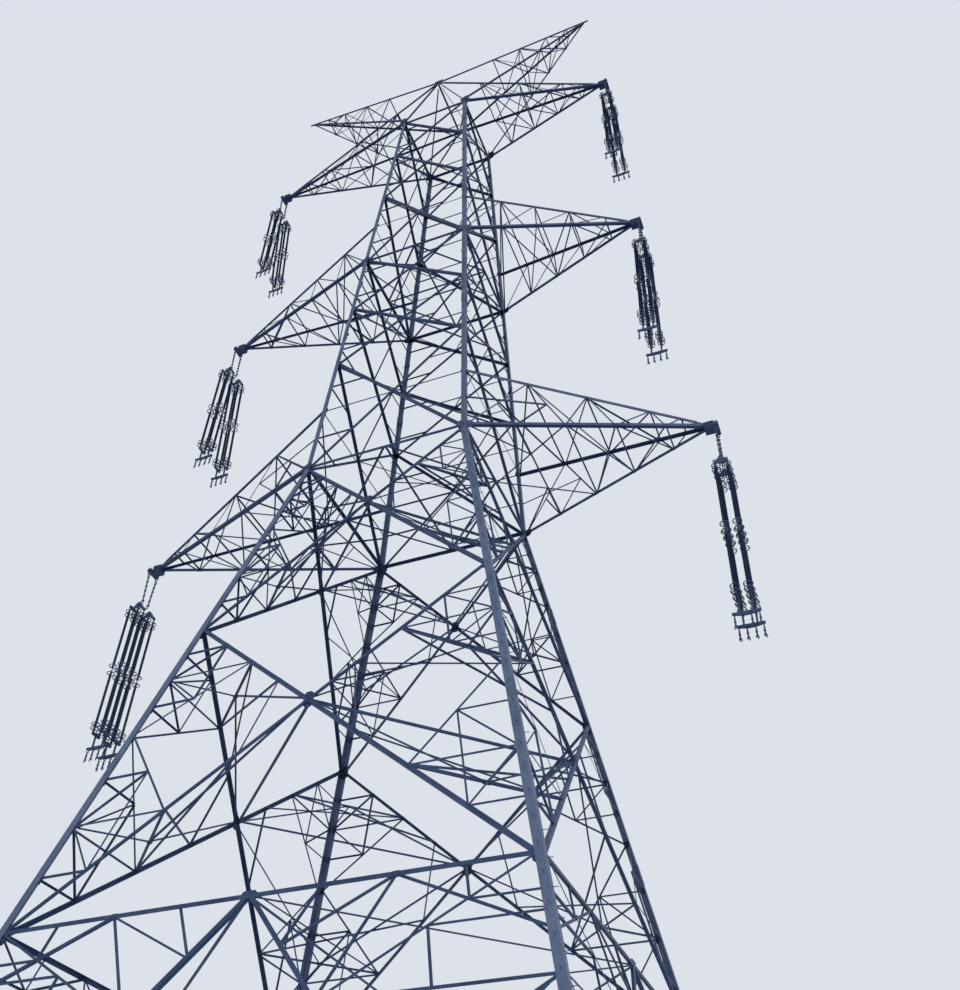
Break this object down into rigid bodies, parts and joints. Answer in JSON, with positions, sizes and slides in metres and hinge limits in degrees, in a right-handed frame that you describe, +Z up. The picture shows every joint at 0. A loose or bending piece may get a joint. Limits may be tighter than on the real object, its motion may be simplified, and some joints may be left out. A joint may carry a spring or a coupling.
{
  "type": "lattice transmission pylon, 1:2 scale model",
  "caption": "Tall lattice transmission pylon, half-size model: square tapered body on splayed legs, three pairs of crossarms, raised earth-wire arms and long hanging insulator sets.",
  "frame": {"origin": "on the ground in the middle of the four feet, which is the tower's axis", "axes": "+X along the shorter arms, Y along the line of the wires, +Z up"},
  "size_m": [14.1967, 11.0734, 38.14],
  "materials": {
    "leg_steel": "weathered galvanised",
    "lattice_steel": "weathered galvanised, darkened",
    "fitting": "dull galvanised",
    "string": "dark silicone rubber sheds"
  },
  "bodies": {
    "root": {"leg_lower_front_right": "leg_steel", "leg_lower_back_right": "leg_steel", "leg_lower_back_left": "leg_steel", "leg_lower_front_left": "leg_steel", "leg_upper_front_right": "leg_steel", "leg_upper_back_right": "leg_steel", "leg_upper_back_left": "leg_steel", "leg_upper_front_left": "leg_steel", "lattice_lower_front": "lattice_steel", "lattice_lower_right": "lattice_steel", "lattice_lower_back": "lattice_steel", "lattice_lower_left": "lattice_steel", "lattice_upper_front": "lattice_steel", "lattice_upper_right": "lattice_steel", "lattice_upper_back": "lattice_steel", "lattice_upper_left": "lattice_steel", "base_brace_front_right": "lattice_steel", "base_brace_back_right": "lattice_steel", "base_brace_back_left": "lattice_steel", "base_brace_front_left": "lattice_steel", "plan_brace_belt": "lattice_steel", "plan_brace_waist": "lattice_steel", "plan_brace_middle": "lattice_steel", "peak_frame": "lattice_steel", "arm_lower_right": "lattice_steel", "strings_lower_right": "string", "wire_yokes_lower_right": "fitting", "arm_middle_right": "lattice_steel", "strings_middle_right": "string", "wire_yokes_middle_right": "fitting", "arm_top_right": "lattice_steel", "strings_top_right": "string", "wire_yokes_top_right": "fitting", "arm_earth_right": "lattice_steel", "arm_lower_left": "lattice_steel", "strings_lower_left": "string", "wire_yokes_lower_left": "fitting", "arm_middle_left": "lattice_steel", "strings_middle_left": "string", "wire_yokes_middle_left": "fitting", "arm_top_left": "lattice_steel", "strings_top_left": "string", "wire_yokes_top_left": "fitting", "arm_earth_left": "lattice_steel"}
  },
  "joints": []
}
